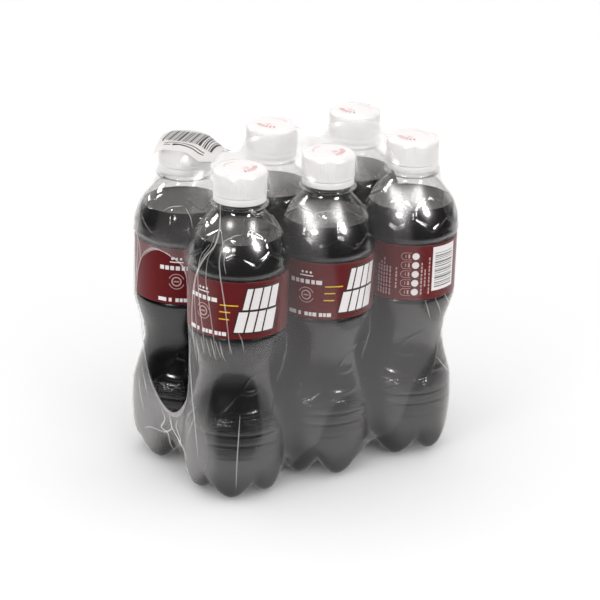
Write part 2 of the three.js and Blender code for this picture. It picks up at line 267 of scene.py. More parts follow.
def bottle_points(bottle, columns, profile, inset=0.0):
    """Points of a bottle's surface, row by row, in millimetres in the pack's frame."""
    angle = np.arange(columns) * 2 * math.pi / columns
    radius = profile[:, :1] + 0 * angle
    z = profile[:, 1:] + 0 * angle
    feet = footness(angle - math.radians(bottle["feet"]))
    valley = valley_height(profile[:, :1])
    z = np.where(z < valley, valley + (z - valley) * feet, z)
    side = math.radians(CAMERA_SIDE)
    ridges = shoulder_ridges(angle - side - math.radians(bottle["cells"]), z)
    radius = radius + np.where(profile[:, 1:] > SHOULDER_FROM, ridges, 0)
    relief = body_relief(angle - side - math.radians(bottle["ridges"]), z)
    lower = (profile[:, 1:] > RELIEF_FROM) & (profile[:, 1:] < RELIEF_TO)
    radius = radius + np.where(lower, relief, 0)
    radius = np.maximum(radius - inset * np.minimum(profile[:, :1] / 10, 1), 0)
    return round_axis(bottle, radius, angle, z)


# Materials

def new_material(name):
    material = bpy.data.materials.new(name)
    material.use_nodes = True
    material.node_tree.nodes.clear()
    return material, material.node_tree


def make_node(tree, kind, inputs=None, **settings):
    """A shader node. Each input that is named gets a value, or the output that feeds it."""
    node = tree.nodes.new("ShaderNode" + kind)
    for setting, value in settings.items():
        setattr(node, setting, value)
    for socket, value in (inputs or {}).items():
        if isinstance(value, bpy.types.NodeSocket):
            tree.links.new(value, node.inputs[socket])
        else:
            node.inputs[socket].default_value = value
    return node


def colour_ramp(tree, factor, first, last, *others, interpolation="LINEAR"):
    """Colour by a factor. Each stop is a position and a colour."""
    node = make_node(tree, "ValToRGB", {"Fac": factor})
    ramp = node.color_ramp
    ramp.interpolation = interpolation
    for element, (position, colour) in zip(ramp.elements, (first, last)):
        element.position = position
        element.color = (*colour, 1)
    for position, colour in others:
        ramp.elements.new(position).color = (*colour, 1)
    return node.outputs["Color"]


def math_node(tree, operation, *values, clamp=False):
    return make_node(tree, "Math", dict(enumerate(values)), operation=operation, use_clamp=clamp).outputs[0]


def attribute_value(tree, name):
    return make_node(tree, "Attribute", attribute_name=name).outputs["Fac"]


def mixed(tree, share, first, second):
    """The first shader where the share is 0 and the second where it is 1."""
    return make_node(tree, "MixShader", {0: share, 1: first.outputs[0], 2: second.outputs[0]})


def principled(name, colour, roughness, variation=0.04, scale=900, bump_strength=0.05, specular=0.5,
               subsurface=0.0):
    """Moulded or printed surface: its colour and roughness vary a little, with a fine bump."""
    material, tree = new_material(name)
    place = make_node(tree, "TexCoord")
    noise = make_node(tree, "TexNoise", {"Scale": scale, "Detail": 3, "Vector": place.outputs["Object"]})
    grain = noise.outputs["Fac"]
    low = [max(c * (1 - variation), 0) for c in colour]
    high = [min(c * (1 + variation), 1) for c in colour]
    rough = make_node(tree, "MapRange", {"Value": grain, "To Min": roughness * 0.85,
                                         "To Max": roughness * 1.15})
    bumps = make_node(tree, "Bump", {"Strength": bump_strength, "Distance": 0.0002, "Height": grain})
    shader = make_node(tree, "BsdfPrincipled", {
        "Base Color": colour_ramp(tree, grain, (0.3, low), (0.7, high)),
        "Roughness": rough.outputs["Result"],
        "Normal": bumps.outputs["Normal"],
        "Specular IOR Level": specular,
        "Subsurface Weight": subsurface,
        "Subsurface Radius": (0.002, 0.0018, 0.0016),
    })
    make_node(tree, "OutputMaterial", {"Surface": shader.outputs[0]})
    return material


def one_face(tree, normal, head_on):
    """Share of light that a clear surface reflects by angle, the same from either side."""
    edge = make_node(tree, "LayerWeight", {"Blend": 0.5, "Normal": normal})
    steep = math_node(tree, "POWER", edge.outputs["Facing"], 5.0)
    return math_node(tree, "MULTIPLY_ADD", steep, 1 - head_on, head_on)


def two_faces(tree, fresnel):
    """Share of light that a thin sheet's two faces reflect together."""
    double = math_node(tree, "MULTIPLY", fresnel, 2.0)
    below = math_node(tree, "ADD", fresnel, 1.0)
    return math_node(tree, "DIVIDE", double, below, clamp=True)


# Bands of the bottle wall with a stippled surface: middle height and half height, in metres.
STIPPLE_BANDS = ((0.0488, 0.0042), (0.0335, 0.0028))


def placed(tree):
    """The place on the pack, and its height."""
    place = make_node(tree, "TexCoord").outputs["Object"]
    split = make_node(tree, "SeparateXYZ", {"Vector": place})
    return place, split.outputs["Z"]


def wall_relief(tree, place, z):
    """Normal of a moulded bottle wall: stippled bands low down and faint waves all over."""
    dots = make_node(tree, "TexVoronoi", {"Scale": 950, "Vector": place})
    bands = [math_node(tree, "COMPARE", z, middle, half) for middle, half in STIPPLE_BANDS]
    height = math_node(tree, "MULTIPLY", dots.outputs["Distance"], math_node(tree, "ADD", *bands, clamp=True))
    stipple = make_node(tree, "Bump", {"Strength": 0.8, "Distance": 0.0003, "Height": height})
    waves = make_node(tree, "TexNoise", {"Scale": 120, "Vector": place})
    wavy = make_node(tree, "Bump", {"Strength": 0.25, "Distance": 0.0004, "Height": waves.outputs["Fac"],
                                    "Normal": stipple.outputs["Normal"]})
    return wavy.outputs["Normal"]


def clear_wall():
    """Clear bottle wall. Where drink lies against it the drink carries most of the gloss."""
    material, tree = new_material("clear_bottle")
    place, z = placed(tree)
    normal = wall_relief(tree, place, z)
    single = one_face(tree, normal, 0.05)
    double = two_faces(tree, single)
    faint = math_node(tree, "MULTIPLY", single, 0.12)
    empty = math_node(tree, "GREATER_THAN", z, FILL_Z * MM)
    share = make_node(tree, "Mix", {0: empty, 2: faint, 3: double})
    clear = make_node(tree, "BsdfTransparent", {"Color": (0.965, 0.965, 0.96, 1)})
    gloss = make_node(tree, "BsdfGlossy", {"Roughness": 0.09, "Normal": normal})
    make_node(tree, "OutputMaterial", {"Surface": mixed(tree, share.outputs[0], clear, gloss).outputs[0]})
    return material


def drink_against_wall():
    """Almost black drink behind the wall that it wets, with the gloss of that wall."""
    material, tree = new_material("dark_drink")
    place, z = placed(tree)
    cloud = make_node(tree, "TexNoise", {"Scale": 25, "Vector": place})
    depth = colour_ramp(tree, cloud.outputs["Fac"], (0, (0.0012, 0.0009, 0.0013)),
                        (1, (0.0022, 0.0017, 0.0024)))
    rough = make_node(tree, "MapRange", {"Value": z, "From Min": LABEL_LOW * MM, "From Max": LABEL_HIGH * MM,
                                         "To Min": 0.2, "To Max": 0.08})
    shader = make_node(tree, "BsdfPrincipled", {
        "Base Color": depth,
        "Roughness": rough.outputs["Result"],
        "Normal": wall_relief(tree, place, z),
        "Specular IOR Level": 0.65,
    })
    make_node(tree, "OutputMaterial", {"Surface": shader.outputs[0]})
    return material


# Share of its gloss that loose film shows, and how much of that it loses where it grips.
LOOSE_GLOSS = 0.6
GRIP_LOSS = 0.4


def film_material():
    """Thin shrink film: two reflecting faces, less gloss where it grips what is below, and a milky haze whose
    colour is painted: a lit white on top of the pack and a shaded grey down its sides.
    """
    material, tree = new_material("shrink_film")
    place = make_node(tree, "TexCoord")
    waves = make_node(tree, "TexNoise", {"Scale": 60, "Detail": 3, "Vector": place.outputs["Object"]})
    wavy = make_node(tree, "Bump", {"Strength": 0.12, "Distance": 0.0008, "Height": waves.outputs["Fac"]})
    normal = wavy.outputs["Normal"]
    both = two_faces(tree, one_face(tree, normal, 0.04))
    loose = math_node(tree, "MULTIPLY_ADD", attribute_value(tree, "grip"), -GRIP_LOSS, LOOSE_GLOSS)
    share = math_node(tree, "MULTIPLY", both, loose)
    clear = make_node(tree, "BsdfTransparent", {"Color": (0.965, 0.96, 0.955, 1)})
    gloss = make_node(tree, "BsdfGlossy", {"Roughness": 0.25, "Color": (1.0, 0.965, 0.97, 1),
                                           "Normal": normal})
    thin = mixed(tree, share, clear, gloss)
    # Painted light and shade: the haze's colour runs from a shaded grey to a lit white by the pale share kept
    # at each point.
    grey, white = (0.47, 0.46, 0.46, 1), (0.88, 0.87, 0.86, 1)
    pale = attribute_value(tree, "pale")
    painted_haze_tone = make_node(tree, "Mix", {0: pale, 6: grey, 7: white}, data_type="RGBA").outputs[2]
    milk_and_painted_light = make_node(tree, "BsdfDiffuse", {"Color": painted_haze_tone})
    through = make_node(tree, "BsdfTranslucent", {"Color": painted_haze_tone})
    cloud = make_node(tree, "AddShader", {0: milk_and_painted_light.outputs[0], 1: through.outputs[0]})
    full = mixed(tree, attribute_value(tree, "haze"), thin, cloud)
    make_node(tree, "OutputMaterial", {"Surface": full.outputs[0]})
    return material


CLEAR = clear_wall()
FILM = film_material()
DRINK = drink_against_wall()
DRINK_TOP = principled("drink_surface", (0.012, 0.007, 0.006), 0.03, specular=0.35, bump_strength=0)
CAP = principled("cap_plastic", (0.87, 0.86, 0.86), 0.42, variation=0.01, subsurface=0.1)
CAP_INK = principled("cap_ink", (0.62, 0.012, 0.015), 0.4, variation=0.1)
LABEL = principled("label_red", (0.118, 0.0035, 0.0055), 0.42, variation=0.08, bump_strength=0.04,
                   scale=500, specular=0.2)
INKS = [principled(f"label_{name}_ink", colour, 0.35, variation=variation) for name, colour, variation in (
    ("white", (0.82, 0.8, 0.8), 0.03),
    ("soft_white", (0.5, 0.33, 0.33), 0.06),
    ("dark", (0.02, 0.004, 0.005), 0.06),
    ("yellow", (0.72, 0.52, 0.01), 0.05),
    ("grey", (0.16, 0.15, 0.15), 0.05),
)]
WHITE, SOFT, DARK, YELLOW, GREY = range(len(INKS))
PAPER = principled("sticker_paper", (0.72, 0.69, 0.675), 0.55, variation=0.02, bump_strength=0.08)
PAPER_INK = principled("sticker_ink", (0.03, 0.03, 0.035), 0.5, variation=0.05)


# Bottles and drinks

BOTTLE_COLUMNS = 140
DRINK_COLUMNS = 180


def drink_profile():
    inside = OUTER_PROFILE[OUTER_PROFILE[:, 1] < FILL_Z]
    return np.vstack([inside[:-1], [[24.4, FILL_Z]]])


def wall_profile():
    """The outline with every other point left out where drink stands behind it."""
    keep = (OUTER_PROFILE[:, 1] > 140) | (np.arange(len(OUTER_PROFILE)) % 2 == 0)
    return OUTER_PROFILE[keep]


for place_name, bottle in BOTTLES.items():
    points = bottle_points(bottle, BOTTLE_COLUMNS, wall_profile())
    rows = len(points)
    faces = grid_faces(rows, BOTTLE_COLUMNS, wrap_columns=True)
    make_piece(f"clear_bottle_{place_name}", points.reshape(-1, 3), faces, [CLEAR],
               replaces=[f"bottle_{place_name}"])

    profile = drink_profile()
    body = bottle_points(bottle, DRINK_COLUMNS, profile, inset=0.35)
    cx, cy = centre(bottle)
    body[-1, :, 2] = FILL_Z
    inner_rings = [np.stack([cx + (body[-1, :, 0] - cx) * s, cy + (body[-1, :, 1] - cy) * s,
                             np.full(DRINK_COLUMNS, FILL_Z - drop)], 1)
                   for s, drop in ((0.975, 0.35), (0.93, 0.45), (0.6, 0.5), (0.001, 0.5))]
    everything = np.vstack([body.reshape(-1, 3), *inner_rings])
    total_rows = len(profile) + len(inner_rings)
    faces = grid_faces(total_rows, DRINK_COLUMNS, wrap_columns=True)
    tops = (faces[:, 0] // DRINK_COLUMNS >= len(profile) - 1).astype(int)
    make_piece(f"dark_drink_{place_name}", everything, faces, [DRINK, DRINK_TOP], tops,
               replaces=[f"drink_{place_name}"])


# Labels

def on_label(bottle, angle, z, lift):
    """A point on a bottle's label: angle in degrees from the label's middle, and how far it is lifted."""
    turn = np.radians(CAMERA_SIDE + bottle["label"] + np.asarray(angle, float))
    return round_axis(bottle, LABEL_OUTSIDE + lift, turn, z)


class Print(Shapes):
    """Flat printed shapes on one label. Angles count from a middle that is moved from face to face."""

    def __init__(self, bottle):
        super().__init__()
        self.bottle = bottle
        self.middle = 0

    def add_grid(self, angle, z, lift, ink):
        self.add(on_label(self.bottle, angle.ravel(), z.ravel(), lift), grid_faces(*angle.shape), ink)

    def block(self, left, right, low, high, ink, slant=0.0, lift=0.03):
        """A box or slanted box, its left and right given at its foot, its slant in degrees to its top."""
        left, right = left + self.middle, right + self.middle
        steps = max(int(abs(right - left) / 3) + 1, 2)
        across, up = np.meshgrid(np.linspace(left, right, steps + 1), np.linspace(0, 1, 3))
        self.add_grid(across + slant * up, low + (high - low) * up, lift, ink)

    def ring(self, angle, z, inner, outer, ink, start=0, end=360, lift=0.03, sides=28):
        """A ring or arc of a ring, radii in millimetres."""
        t = np.radians(np.linspace(start, end, sides + 1))
        radii = np.array([[inner], [outer]])
        across = angle + self.middle + np.degrees(radii * np.cos(t) / LABEL_OUTSIDE)
        self.add_grid(across, z + radii * np.sin(t), lift, ink)


def print_front(p):
    """Main face of a label: a ring, plain rows, three dashes and two rows of slanted blocks."""
    p.ring(0, 117.5, 4.3, 4.75, SOFT, 20, 160)
    p.ring(0, 117.5, 4.3, 4.75, SOFT, 200, 340)
    p.ring(0, 117.5, 2.2, 3.0, SOFT)
    p.block(-3, 3, 117.1, 117.9, SOFT)
    for k in range(3):
        p.ring(-5 + 5 * k, 131.4, 0.0, 0.75, WHITE)
    p.block(-8, 8, 129.0, 129.7, WHITE)
    for left, right in [(-20, -15), (-13.5, -9), (-7.5, -3), (-1, 4), (6, 10), (11.5, 18.5)]:
        p.block(left, right, 124.4, 126.9, WHITE)
    for left, right in [(-22, -12), (-9, -5.5), (-1, 3), (4, 7.5), (8.5, 13), (16, 20), (21, 24), (25, 30)]:
        p.block(left, right, 104.9, 107.2, WHITE)
    for left, right, low in [(22, 43, 123.0), (21.5, 34, 118.9), (21, 33, 114.6)]:
        p.block(left, right, low, low + 0.7, YELLOW)
    slant = 5.5
    p.block(45.5, 92.5, 119.6, 134.4, DARK, slant=slant * 1.1, lift=0.02)
    p.block(36, 89, 106.3, 120.6, DARK, slant=slant * 1.1, lift=0.025)
    for left, right in [(48, 54.5), (56.5, 66), (68, 77.5), (79.5, 90)]:
        p.block(left, right, 120.9, 133.3, WHITE, slant=slant, lift=0.05)
    for left, right in [(38.5, 49), (51, 60), (62, 70.5), (72.5, 86)]:
        p.block(left, right, 107.4, 119.6, WHITE, slant=slant, lift=0.05)


def print_back(p):
    """Rear face of a label: upright lines, five pills with discs, and a panel of bars."""
    columns = [(-34, 106.5, 125), (-30.5, 106.3, 128.5), (-27, 106, 131), (-23.5, 106.2, 125.5),
               (-19.5, 106, 124.5), (-12, 110.5, 126.5), (18, 106.8, 129), (22.3, 111.8, 123.5),
               (27.5, 107, 130)]
    for angle, low, high in columns:
        for k in range(int((high - low) / 2.3)):
            foot = low + 2.3 * k
            p.block(angle - 0.9, angle + 0.9, foot, foot + 1.5 + 0.4 * ((k * 7) % 3 == 0), SOFT)
    for k in range(5):
        middle = 108.6 + 5.55 * k
        p.ring(10.3, middle, 0.0, 2.1, WHITE)
        p.block(-2.5, 5.5, middle + 2.0, middle + 2.25, SOFT)
        p.block(-2.5, 5.5, middle - 2.25, middle - 2.0, SOFT)
        p.ring(-2.5, middle, 1.95, 2.25, SOFT, 90, 270, sides=10)
        p.block(-1.8, -1.0, middle - 1.0, middle + 1.0, SOFT)
        p.block(1.4, 3.4, middle - 1.2, middle + 1.2, SOFT)
    p.block(31.5, 68, 108.4, 135.6, WHITE)
    widths = [1.1, 0.5, 0.9, 0.5, 1.5, 0.5, 0.6, 1.2, 0.5, 0.9, 0.6, 1.4, 0.5, 0.6, 1.0, 0.5]
    z = 110.4
    for k, width in enumerate(widths):
        p.block(35, 65, z, z + width * 0.75, GREY, lift=0.05)
        z += width * 0.75 + (0.75, 0.5, 1.1)[k % 3]


for place_name, bottle in BOTTLES.items():
    sides = 160
    heights = [LABEL_LOW, LABEL_LOW + 0.5, 112, 120, 128, LABEL_HIGH - 0.5, LABEL_HIGH]
    angle, z = np.meshgrid(np.arange(sides) * 360 / sides, heights)
    outer = on_label(bottle, angle, z, 0.0)
    inner = on_label(bottle, angle[:1], z[-1:], -0.25)
    foot = on_label(bottle, angle[:1], z[:1], -0.25)
    everything = np.vstack([foot.reshape(-1, 3), outer.reshape(-1, 3), inner.reshape(-1, 3)])
    faces = grid_faces(len(heights) + 2, sides, wrap_columns=True)
    make_piece(f"label_sleeve_{place_name}", everything, faces, [LABEL],
               replaces=[f"label_{place_name}"])
    p = Print(bottle)
    print_front(p)
    p.middle = 196
    print_back(p)
    p.finish(f"label_print_{place_name}", INKS, "label")


# Caps

KNURLS = 120
CAP_COLUMNS = KNURLS * 3
KNURL_DEPTH = 0.32


def cap_points(bottle):
    angle = np.arange(CAP_COLUMNS) * 2 * math.pi / CAP_COLUMNS
    profile = [(14.0, 176.7, 0), (14.6, 176.5, 0), (14.95, 176.7, 0), (15.0, 177.2, 0), (15.0, 179.6, 0),
               (14.85, 179.9, 0), (14.75, 180.2, 0), (14.85, 180.5, 0), (15.15, 180.8, 0), (15.3, 181.3, 0),
               (15.25, 181.9, 0.5), (15.25, 182.4, 1), (15.2, 187, 1), (15.1, 191.4, 1), (15.0, 192.4, 0.6),
               (14.8, 193.2, 0.15), (14.3, 194.1, 0), (13.4, 194.8, 0), (12.2, 195.15, 0), (9.0, 195.2, 0),
               (5.0, 195.2, 0), (0.01, 195.2, 0)]
    wave = (np.arange(CAP_COLUMNS) % 3 == 0).astype(float)
    return np.stack([round_axis(bottle, radius - KNURL_DEPTH * knurl * (1 - wave), angle, z)
                     for radius, z, knurl in profile])


for place_name, bottle in BOTTLES.items():
    points = cap_points(bottle)
    faces = grid_faces(len(points), CAP_COLUMNS, wrap_columns=True)
    make_piece(f"screw_cap_{place_name}", points.reshape(-1, 3), faces, [CAP],
               replaces=[f"cap_{place_name}"])


# Red print on the tops of the caps: a row of strokes, an arc of dashes and a small spray of three strokes
CAP_TURNS = {"front_left": 62, "front_middle": 75, "front_right": -38, "back_left": 20, "back_middle": -30,
             "back_right": -45}


def cap_print(bottle, turn):
    """Flat red shapes just above a cap's top."""
    shapes = Shapes()

    def patch(angle, width, inner, outer, steps=3):
        around = np.radians(turn + angle + np.linspace(-width / 2, width / 2, steps + 1))
        rows = [round_axis(bottle, r, around, CAP_TOP + 0.04) for r in (inner, outer)]
        shapes.add(np.vstack(rows), grid_faces(2, steps + 1))

    for k in range(6):
        patch(-40 + 16 * k, 8, 6.4, 9.4)
    for k in range(9):
        patch(145 + 8 * k, 3.5, 8.6, 9.4)
    for k in (-1, 0, 1):
        patch(28 * k, 9 - 3 * abs(k), 2.2, 5.6 - 0.8 * abs(k))
    return shapes


for place_name, bottle in BOTTLES.items():
    shapes = cap_print(bottle, CAMERA_SIDE + CAP_TURNS[place_name])
    shapes.finish(f"cap_print_{place_name}", [CAP_INK], "cap")


# Film

FILM_CLEARANCE = 0.3
# Reach of the opening at each end from its centre, and how square each corner is: 2 gives an ellipse.
WINDOW_CENTRE_Z = 86
WINDOW_BACK = 36
WINDOW_FRONT = 23
WINDOW_UP = 53
WINDOW_DOWN = 47
BACK_UP, BACK_DOWN, FRONT_DOWN, FRONT_UP = 3, 1.7, 2.5, 10
TENSION_RATIO = 2.2
END_X = PITCH + 29.4 + 1.2


def film_outline():
    """The outline that the film lies on, as radius and height."""
    profile = OUTER_PROFILE[(OUTER_PROFILE[:, 1] < 174) & (np.arange(len(OUTER_PROFILE)) >= 10)]
    body = profile[::2]
    keep = ~((body[:, 1] > LABEL_LOW - 1) & (body[:, 1] < LABEL_HIGH + 1))
    low = body[keep & (body[:, 1] < LABEL_LOW)]
    high = body[keep & (body[:, 1] > LABEL_HIGH)]
    label = [[LABEL_OUTSIDE + 0.1, LABEL_LOW], [LABEL_OUTSIDE + 0.1, LABEL_HIGH]]
    top = [[16.5, 174.4], [16.5, 175.2], [15.5, 176.5], [15.5, 192.5], [14.9, 193.6], [13.5, 195.0],
           [12, 195.3], [0, 195.3]]
    return np.vstack([[[0, FOOT_Z]], low, label, high, top])


def distance_table():
    """Signed distance and outward direction from the outline, on a table of radius and height."""
    line = film_outline()
    step = 0.25
    radius = np.arange(0, 33, step)
    height = np.arange(-4, 202, step)
    rr, zz = np.meshgrid(radius, height, indexing="ij")
    best = np.full(rr.shape, 1e9)
    signed = np.zeros(rr.shape)
    away_r = np.zeros(rr.shape)
    away_z = np.zeros(rr.shape)
    for (r0, z0), (r1, z1) in zip(line[:-1], line[1:]):
        dr, dz = r1 - r0, z1 - z0
        length = math.hypot(dr, dz)
        if length < 1e-6:
            continue
        along = np.clip(((rr - r0) * dr + (zz - z0) * dz) / length ** 2, 0, 1)
        er, ez = rr - r0 - along * dr, zz - z0 - along * dz
        far = np.hypot(er, ez)
        outside = (er * dz - ez * dr) / length >= 0
        nearer = far < best - 1e-9
        best = np.where(nearer, far, best)
        signed = np.where(nearer, np.where(outside, far, -far), signed)
        with np.errstate(divide="ignore", invalid="ignore"):
            flip = np.where(outside, 1, -1)
            nr = np.where(far > 1e-6, er / np.maximum(far, 1e-9) * flip, dz / length)
            nz = np.where(far > 1e-6, ez / np.maximum(far, 1e-9) * flip, -dr / length)
        away_r = np.where(nearer, nr, away_r)
        away_z = np.where(nearer, nz, away_z)
    return step, signed, away_r, away_z


TABLE_STEP, TABLE_SIGNED, TABLE_R, TABLE_Z = distance_table()


def from_bottles(points):
    """Distance of points from the nearest bottle's outline, and the direction away from it."""
    column = np.clip(np.round(points[..., 0] / PITCH), -1, 1) * PITCH
    row = np.where(points[..., 1] < 0, -PITCH / 2, PITCH / 2)
    dx, dy = points[..., 0] - column, points[..., 1] - row
    radius = np.maximum(np.hypot(dx, dy), 1e-6)
    fr = np.clip(radius / TABLE_STEP, 0, TABLE_SIGNED.shape[0] - 1.001)
    fz = np.clip((points[..., 2] + 4) / TABLE_STEP, 0, TABLE_SIGNED.shape[1] - 1.001)
    ir, iz = fr.astype(int), fz.astype(int)
    tr, tz = fr - ir, fz - iz

    def read(table):
        return ((table[ir, iz] * (1 - tr) + table[ir + 1, iz] * tr) * (1 - tz)
                + (table[ir, iz + 1] * (1 - tr) + table[ir + 1, iz + 1] * tr) * tz)

    signed = read(TABLE_SIGNED)
    nr, nz = read(TABLE_R), read(TABLE_Z)
    away = np.stack([dx / radius * nr, dy / radius * nr, nz], -1)
    away = away / np.maximum(np.linalg.norm(away, axis=-1, keepdims=True), 1e-6)
    far = radius > 32
    return np.where(far, 99.0, signed), away


def lines_across(count):
    lines = []
    for k in range(count):
        middle = (k - (count - 1) / 2) * PITCH
        if k > 0:
            lines.append(middle - PITCH / 2)
        lines += [middle + share * CAP_RADIUS for share in (-1, -1 / 3, 1 / 3, 1)]
    return np.array(lines)


def window_rim(angle):
    """Rim of an opening at an angle from its centre, as y and z."""
    c, s = np.cos(angle), np.sin(angle)
    squareness = np.where(c > 0, np.where(s > 0, BACK_UP, BACK_DOWN), np.where(s > 0, FRONT_UP, FRONT_DOWN))
    y = np.where(c > 0, WINDOW_BACK, WINDOW_FRONT) * np.sign(c) * np.abs(c) ** (2 / squareness)
    z = np.where(s > 0, WINDOW_UP, WINDOW_DOWN) * np.sign(s) * np.abs(s) ** (2 / squareness)
    return y, WINDOW_CENTRE_Z + z


def start_film(detail):
    """The film's grid before it is pulled tight: around the pack, and along it from opening to opening."""
    half_y = PITCH / 2 + 31.4
    down = np.linspace(182, 8, 12)
    section = [(y, CAP_TOP + 2) for y in lines_across(2)]
    section += [(half_y, z) for z in down]
    section += [(y, 0.6) for y in np.linspace(46, -46, 6)]
    section += [(-half_y, z) for z in down[::-1]]
    section = np.array(section + section[:1])
    fine = np.arange((len(section) - 1) * detail) / detail
    section = np.stack([np.interp(fine, np.arange(len(section)), section[:, k]) for k in (0, 1)], 1)
    angle = np.arctan2(section[:, 1] - WINDOW_CENTRE_Z, section[:, 0])
    rim_y, rim_z = window_rim(angle)
    along = lines_across(3)
    along = np.interp(np.arange((len(along) - 1) * detail + 1) / detail, np.arange(len(along)), along)
    share = np.linspace(0, 1, 4 * detail + 1)[:, None]
    face_y = rim_y + (section[:, 0] - rim_y) * share
    face_z = rim_z + (section[:, 1] - rim_z) * share
    end = np.stack([np.full(face_y.shape, END_X), face_y, face_z], 2).transpose(1, 0, 2)
    bridge = np.linspace(END_X, along[-1], detail + 1)[1:-1]
    middle_x = np.concatenate([-bridge, along, bridge[::-1]])
    middle = np.stack([np.broadcast_to(middle_x, (len(section), len(middle_x))),
                       np.broadcast_to(section[:, :1], (len(section), len(middle_x))),
                       np.broadcast_to(section[:, 1:], (len(section), len(middle_x)))], 2)
    left = end * np.array([-1, 1, 1])
    return np.concatenate([left, middle, end[:, ::-1]], 1)


def length(v):
    return np.maximum(np.linalg.norm(v, axis=-1, keepdims=True), 1e-4)


def relax_film(grid, weights_from, steps):
    """Each point moves to the middle of its neighbours, and back out where it would be inside a bottle."""
    rim = grid[:, [0, -1], 1:].copy()
    w = weights_from
    up = length(np.roll(w, 1, 0) - w)
    down = length(np.roll(w, -1, 0) - w)
    left = length(np.roll(w, 1, 1) - w)
    right = length(np.roll(w, -1, 1) - w)
    left[:, 0] = right[:, 0]
    right[:, -1] = left[:, -1]
    around, along = (up + down) / 2, (left + right) / 2
    wu, wd = TENSION_RATIO * along / up, TENSION_RATIO * along / down
    wl, wr = around / left, around / right
    wl[:, 0] = 0
    wr[:, -1] = 0
    total = wu + wd + wl + wr
    for step in range(steps):
        pull = 0.8 * (1 - step / steps) ** 0.5
        middle = (np.roll(grid, 1, 0) * wu + np.roll(grid, -1, 0) * wd
                  + np.roll(grid, 1, 1) * wl + np.roll(grid, -1, 1) * wr) / total
        grid = grid + (middle - grid) * pull
        for _ in range(2):
            signed, away = from_bottles(grid)
            grid = grid + away * np.maximum(FILM_CLEARANCE - signed, 0)[..., None]
        grid[:, [0, -1], 1:] = rim
        grid[..., 2] = np.maximum(grid[..., 2], 0.1)
    return grid


def refine(grid):
    """Twice as many points both ways."""
    rows, columns, _ = grid.shape
    tall = np.empty((rows * 2, columns, 3))
    tall[::2] = grid
    tall[1::2] = (grid + np.roll(grid, -1, 0)) / 2
    wide = np.empty((rows * 2, columns * 2 - 1, 3))
    wide[:, ::2] = tall
    wide[:, 1::2] = (tall[:, :-1] + tall[:, 1:]) / 2
    return wide


def tight_film():
    grid = start_film(1)
    grid = relax_film(grid, grid.copy(), 160)
    for detail, steps in ((2, 110), (4, 90), (8, 60)):
        grid = refine(grid)
        grid = relax_film(grid, start_film(detail), steps)
    return grid


def fade_in(value, start, width):
    """0 up to a start, then up to 1 over a width."""
    return np.clip((value - start) / width, 0, 1)


def fade_out(value, end, width):
    """1, then down over a width to 0 at an end."""
    return np.clip((end - value) / width, 0, 1)


def drawn_in(angle, z):
    """How far the film is drawn in to the waist and heel of the front left bottle at a place round it."""
    turn = (angle - math.radians(CAMERA_SIDE) + math.pi) % (2 * math.pi) - math.pi
    inside = np.abs(turn / math.radians(33)) ** 3 + np.abs((z - 55) / 25) ** 3
    return fade_out(inside, 1.25, 0.3)


def cling(grid):
    """Draws the film up between the feet, and in to the waist of the front left bottle."""
    near_y = np.where(grid[..., 1] < 0, -PITCH / 2, PITCH / 2)
    column = np.clip(np.round(grid[..., 0] / PITCH), -1, 1)
    dx, dy = grid[..., 0] - column * PITCH, grid[..., 1] - near_y
    radius, angle = np.hypot(dx, dy), np.arctan2(dy, dx)
    z = grid[..., 2]
    for bottle in BOTTLES.values():
        mine = (column == bottle["column"]) & (np.sign(grid[..., 1]) == bottle["row"])
        feet = footness(angle - math.radians(bottle["feet"]))
        valley = valley_height(radius)
        fade = fade_out(radius, 33.5, 3.5)
        lift = np.maximum(valley - z, 0) * (1 - feet) * fade * FOOT_CLING
        z = np.where(mine, z + lift, z)
    first = BOTTLES["front_left"]
    mine = (column == first["column"]) & (grid[..., 1] < 0)
    share = drawn_in(angle, z) * mine
    outline = OUTER_PROFILE[(OUTER_PROFILE[:, 1] > 20) & (np.arange(len(OUTER_PROFILE)) > 12)]
    wanted = np.interp(z, outline[:, 1], outline[:, 0]) + 0.4
    drawn = radius + (wanted - radius) * share
    scale = drawn / np.maximum(radius, 1e-6)
    x = np.where(mine, column * PITCH + dx * scale, grid[..., 0])
    y = np.where(mine, near_y + dy * scale, grid[..., 1])
    return np.stack([x, y, z], -1)


FOOT_CLING = 0.92
film_grid = cling(tight_film())
film_faces = grid_faces(*film_grid.shape[:2], wrap_rows=True)
film = make_piece("film_sleeve", film_grid.reshape(-1, 3), film_faces, [FILM], replaces=["film"])


# Share of the light that the film's haze takes: everywhere, where it is loose, beside the front left bottle,
# between the caps, less on them, and at the open ends behind, in front and low down
LEAST_HAZE = 0.005
LOOSE_HAZE = 0.06
FIRST_HAZE = 0.03
TOP_HAZE, TOP_GRIP_LOSS = 0.27, 0.19
END_HAZE_BACK, END_HAZE_FRONT, END_HAZE_LOW = 0.2, 0.08, 0.14


def grip_and_haze(grid):
    """How firmly the film lies on what it wraps, how milky it is, and where its haze is painted a lit white
    rather than a shaded grey.
    """
    signed, _ = from_bottles(grid)
    x, y, z = grid[..., 0], grid[..., 1], grid[..., 2]
    grip = fade_out(signed, 1.5, 0.9)
    on_top = fade_in(z, 176, 12)
    first = drawn_in(np.arctan2(y + PITCH / 2, x + PITCH), z) * ((x < -PITCH / 2) & (y < 0))
    dark = np.maximum(grip * (1 - 0.85 * fade_out(z, 101, 6)), first)
    at_end = fade_in(np.abs(x), 82, 5) * fade_out(z, 150, 20)
    near_first = np.exp(-((x + 66) / 24) ** 2) * (y < -20)
    haze = LEAST_HAZE + (LOOSE_HAZE + FIRST_HAZE * near_first) * (1 - dark) * fade_out(z, 175, 30)
    haze = haze + (TOP_HAZE - TOP_GRIP_LOSS * grip) * on_top
    haze = haze + at_end * np.where(y > 0, END_HAZE_BACK, END_HAZE_FRONT)
    haze = haze + END_HAZE_LOW * at_end * fade_out(z, 60, 20)
    grip = np.where(z > 139, 0, grip)
    return grip, haze, on_top


